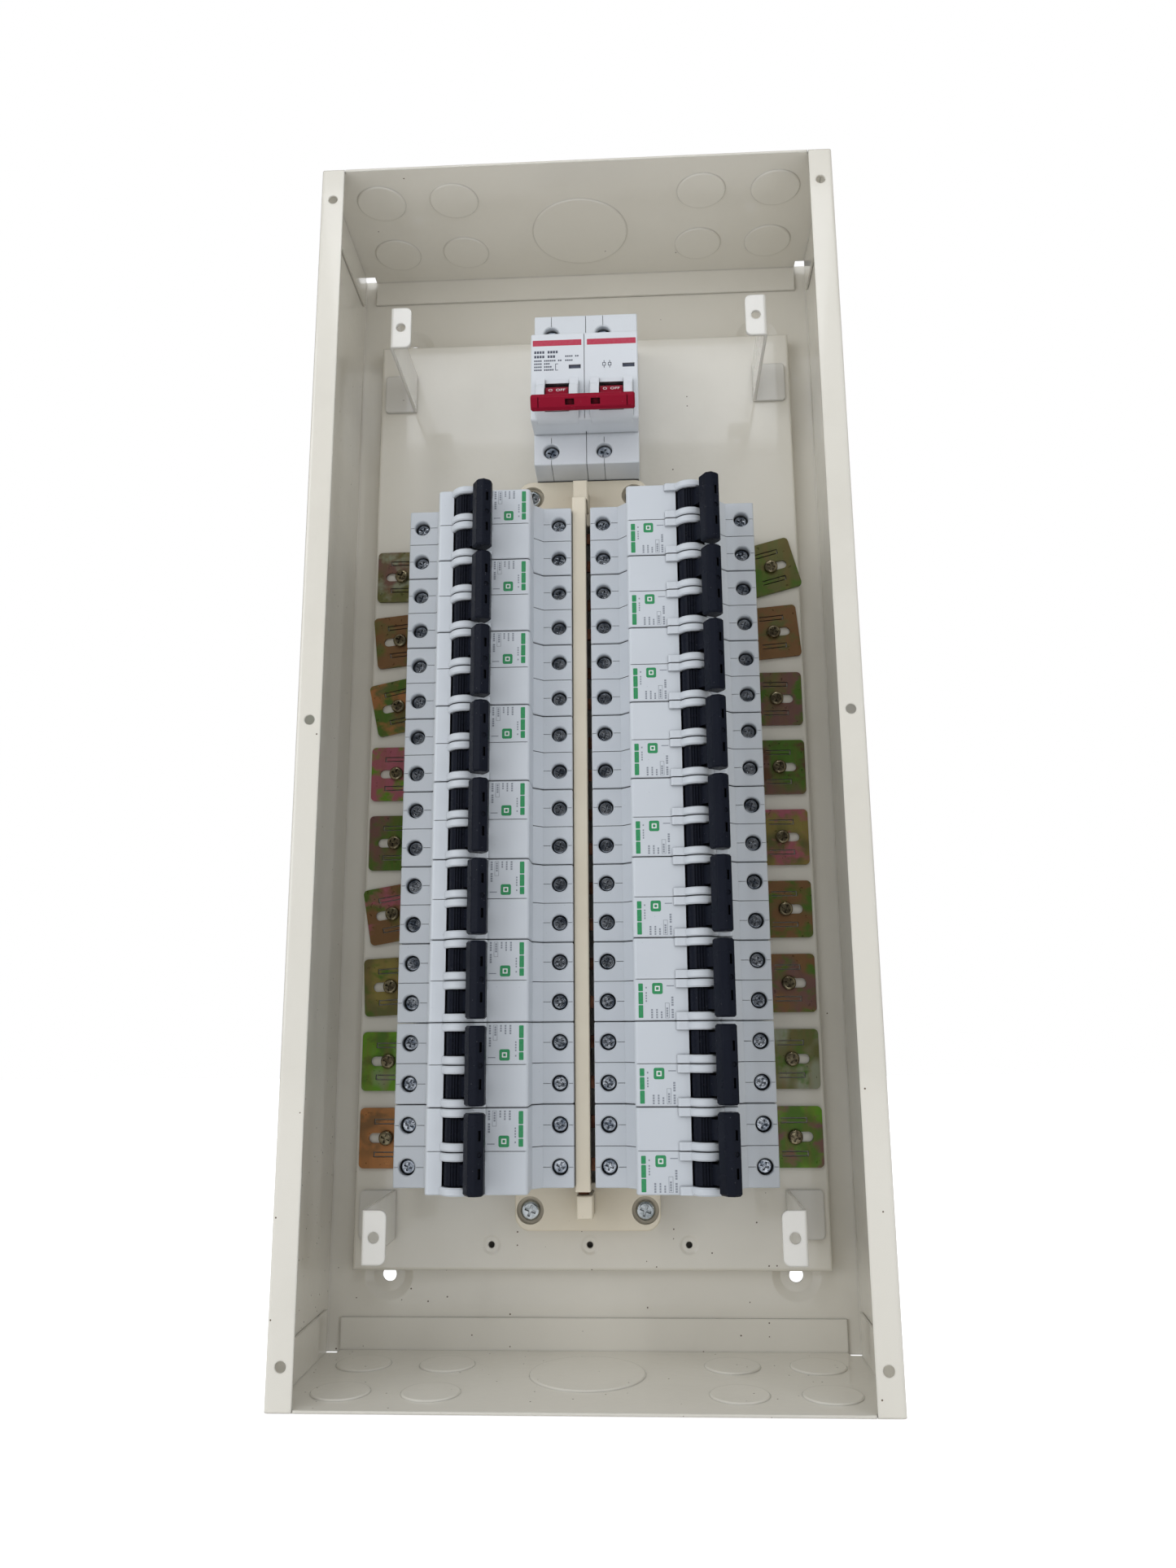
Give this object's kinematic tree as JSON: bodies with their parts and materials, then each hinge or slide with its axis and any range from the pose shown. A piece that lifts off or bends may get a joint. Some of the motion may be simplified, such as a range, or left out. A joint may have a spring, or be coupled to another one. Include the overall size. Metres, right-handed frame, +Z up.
{
  "type": "distribution switchboard",
  "caption": "Open surface-mounted steel switchboard with a busbar assembly, two columns of two-pole breakers and a red-handled main breaker.",
  "frame": {"origin": "middle of the four wall fixings, on the wall plane that the pressed fixing dishes touch", "axes": "+Z up, front faces -Y, +X to the right seen from the front"},
  "size_m": [0.254, 0.0915, 0.572],
  "materials": {
    "cabinet_paint": "gloss powder coat, cream",
    "bracket_paint": "gloss powder coat, off-white",
    "breaker_plastic": "fine-textured light grey moulding",
    "main_breaker_plastic": "fine-textured white-grey moulding",
    "toggle_plastic": "satin black moulding",
    "red_plastic": "satin red moulding",
    "cream_plastic": "satin cream moulding",
    "copper": "bare copper strip",
    "yellow_zinc": "yellow chromate passivated, iridescent",
    "yellow_zinc_screw": "yellow chromate passivated",
    "zinc_steel": "zinc plated",
    "bright_zinc": "bright zinc plated"
  },
  "bodies": {
    "cabinet": {"bottom_end_plate": "cabinet_paint", "bottom_left_cover_bracket": "bracket_paint", "bottom_right_cover_bracket": "bracket_paint", "breaker_terminal_screws": "bright_zinc", "breaker_wire_clamps": "zinc_steel", "busbar_cover_strip": "cream_plastic", "busbar_support_bottom": "cream_plastic", "busbar_support_screws": "bright_zinc", "busbar_support_top": "cream_plastic", "clip_plate_screws": "yellow_zinc_screw", "enclosure_wrap": "cabinet_paint", "left_breaker_1_housing": "breaker_plastic", "left_breaker_2_housing": "breaker_plastic", "left_breaker_3_housing": "breaker_plastic", "left_breaker_4_housing": "breaker_plastic", "left_breaker_5_housing": "breaker_plastic", "left_breaker_6_housing": "breaker_plastic", "left_breaker_7_housing": "breaker_plastic", "left_breaker_8_housing": "breaker_plastic", "left_breaker_9_housing": "breaker_plastic", "left_clip_plates": "yellow_zinc", "line_busbar": "copper", "main_breaker_housing": "main_breaker_plastic", "main_breaker_rail": "zinc_steel", "main_breaker_terminal_screws": "bright_zinc", "main_breaker_wire_clamps": "zinc_steel", "mounting_pan": "cabinet_paint", "neutral_busbar": "copper", "right_breaker_1_housing": "breaker_plastic", "right_breaker_2_housing": "breaker_plastic", "right_breaker_3_housing": "breaker_plastic", "right_breaker_4_housing": "breaker_plastic", "right_breaker_5_housing": "breaker_plastic", "right_breaker_6_housing": "breaker_plastic", "right_breaker_7_housing": "breaker_plastic", "right_breaker_8_housing": "breaker_plastic", "right_breaker_9_housing": "breaker_plastic", "right_clip_plates": "yellow_zinc", "top_end_plate": "cabinet_paint", "top_left_cover_bracket": "bracket_paint", "top_right_cover_bracket": "bracket_paint"},
    "left_toggle_1": {"left_breaker_1_toggle": "toggle_plastic"},
    "left_toggle_2": {"left_breaker_2_toggle": "toggle_plastic"},
    "left_toggle_3": {"left_breaker_3_toggle": "toggle_plastic"},
    "left_toggle_4": {"left_breaker_4_toggle": "toggle_plastic"},
    "left_toggle_5": {"left_breaker_5_toggle": "toggle_plastic"},
    "left_toggle_6": {"left_breaker_6_toggle": "toggle_plastic"},
    "left_toggle_7": {"left_breaker_7_toggle": "toggle_plastic"},
    "left_toggle_8": {"left_breaker_8_toggle": "toggle_plastic"},
    "left_toggle_9": {"left_breaker_9_toggle": "toggle_plastic"},
    "right_toggle_1": {"right_breaker_1_toggle": "toggle_plastic"},
    "right_toggle_2": {"right_breaker_2_toggle": "toggle_plastic"},
    "right_toggle_3": {"right_breaker_3_toggle": "toggle_plastic"},
    "right_toggle_4": {"right_breaker_4_toggle": "toggle_plastic"},
    "right_toggle_5": {"right_breaker_5_toggle": "toggle_plastic"},
    "right_toggle_6": {"right_breaker_6_toggle": "toggle_plastic"},
    "right_toggle_7": {"right_breaker_7_toggle": "toggle_plastic"},
    "right_toggle_8": {"right_breaker_8_toggle": "toggle_plastic"},
    "right_toggle_9": {"right_breaker_9_toggle": "toggle_plastic"},
    "main_toggle": {"main_breaker_toggle": "red_plastic"}
  },
  "joints": [
    {"name": "left_breaker_1_switch", "type": "hinge", "parent": "cabinet", "child": "left_toggle_1", "pos_m": [-0.0533, -0.0725, 0.105], "axis": [0, 0, -1], "range_deg": [0, 68.6]},
    {"name": "left_breaker_2_switch", "type": "hinge", "parent": "cabinet", "child": "left_toggle_2", "pos_m": [-0.0533, -0.0725, 0.069], "axis": [0, 0, -1], "range_deg": [0, 68.6]},
    {"name": "left_breaker_3_switch", "type": "hinge", "parent": "cabinet", "child": "left_toggle_3", "pos_m": [-0.0533, -0.0725, 0.033], "axis": [0, 0, -1], "range_deg": [0, 68.6]},
    {"name": "left_breaker_4_switch", "type": "hinge", "parent": "cabinet", "child": "left_toggle_4", "pos_m": [-0.0533, -0.0725, -0.003], "axis": [0, 0, -1], "range_deg": [0, 68.6]},
    {"name": "left_breaker_5_switch", "type": "hinge", "parent": "cabinet", "child": "left_toggle_5", "pos_m": [-0.0533, -0.0725, -0.039], "axis": [0, 0, -1], "range_deg": [0, 68.6]},
    {"name": "left_breaker_6_switch", "type": "hinge", "parent": "cabinet", "child": "left_toggle_6", "pos_m": [-0.0533, -0.0725, -0.075], "axis": [0, 0, -1], "range_deg": [0, 68.6]},
    {"name": "left_breaker_7_switch", "type": "hinge", "parent": "cabinet", "child": "left_toggle_7", "pos_m": [-0.0533, -0.0725, -0.111], "axis": [0, 0, -1], "range_deg": [0, 68.6]},
    {"name": "left_breaker_8_switch", "type": "hinge", "parent": "cabinet", "child": "left_toggle_8", "pos_m": [-0.0533, -0.0725, -0.147], "axis": [0, 0, -1], "range_deg": [0, 68.6]},
    {"name": "left_breaker_9_switch", "type": "hinge", "parent": "cabinet", "child": "left_toggle_9", "pos_m": [-0.0533, -0.0725, -0.183], "axis": [0, 0, -1], "range_deg": [0, 68.6]},
    {"name": "right_breaker_1_switch", "type": "hinge", "parent": "cabinet", "child": "right_toggle_1", "pos_m": [0.0533, -0.0725, 0.105], "axis": [0, 0, -1], "range_deg": [0, 68.6]},
    {"name": "right_breaker_2_switch", "type": "hinge", "parent": "cabinet", "child": "right_toggle_2", "pos_m": [0.0533, -0.0725, 0.069], "axis": [0, 0, -1], "range_deg": [0, 68.6]},
    {"name": "right_breaker_3_switch", "type": "hinge", "parent": "cabinet", "child": "right_toggle_3", "pos_m": [0.0533, -0.0725, 0.033], "axis": [0, 0, -1], "range_deg": [0, 68.6]},
    {"name": "right_breaker_4_switch", "type": "hinge", "parent": "cabinet", "child": "right_toggle_4", "pos_m": [0.0533, -0.0725, -0.003], "axis": [0, 0, -1], "range_deg": [0, 68.6]},
    {"name": "right_breaker_5_switch", "type": "hinge", "parent": "cabinet", "child": "right_toggle_5", "pos_m": [0.0533, -0.0725, -0.039], "axis": [0, 0, -1], "range_deg": [0, 68.6]},
    {"name": "right_breaker_6_switch", "type": "hinge", "parent": "cabinet", "child": "right_toggle_6", "pos_m": [0.0533, -0.0725, -0.075], "axis": [0, 0, -1], "range_deg": [0, 68.6]},
    {"name": "right_breaker_7_switch", "type": "hinge", "parent": "cabinet", "child": "right_toggle_7", "pos_m": [0.0533, -0.0725, -0.111], "axis": [0, 0, -1], "range_deg": [0, 68.6]},
    {"name": "right_breaker_8_switch", "type": "hinge", "parent": "cabinet", "child": "right_toggle_8", "pos_m": [0.0533, -0.0725, -0.147], "axis": [0, 0, -1], "range_deg": [0, 68.6]},
    {"name": "right_breaker_9_switch", "type": "hinge", "parent": "cabinet", "child": "right_toggle_9", "pos_m": [0.0533, -0.0725, -0.183], "axis": [0, 0, -1], "range_deg": [0, 68.6]},
    {"name": "main_breaker_switch", "type": "hinge", "parent": "cabinet", "child": "main_toggle", "pos_m": [0.003, -0.063, 0.174], "axis": [-1, 0, 0], "range_deg": [0, 56]}
  ]
}
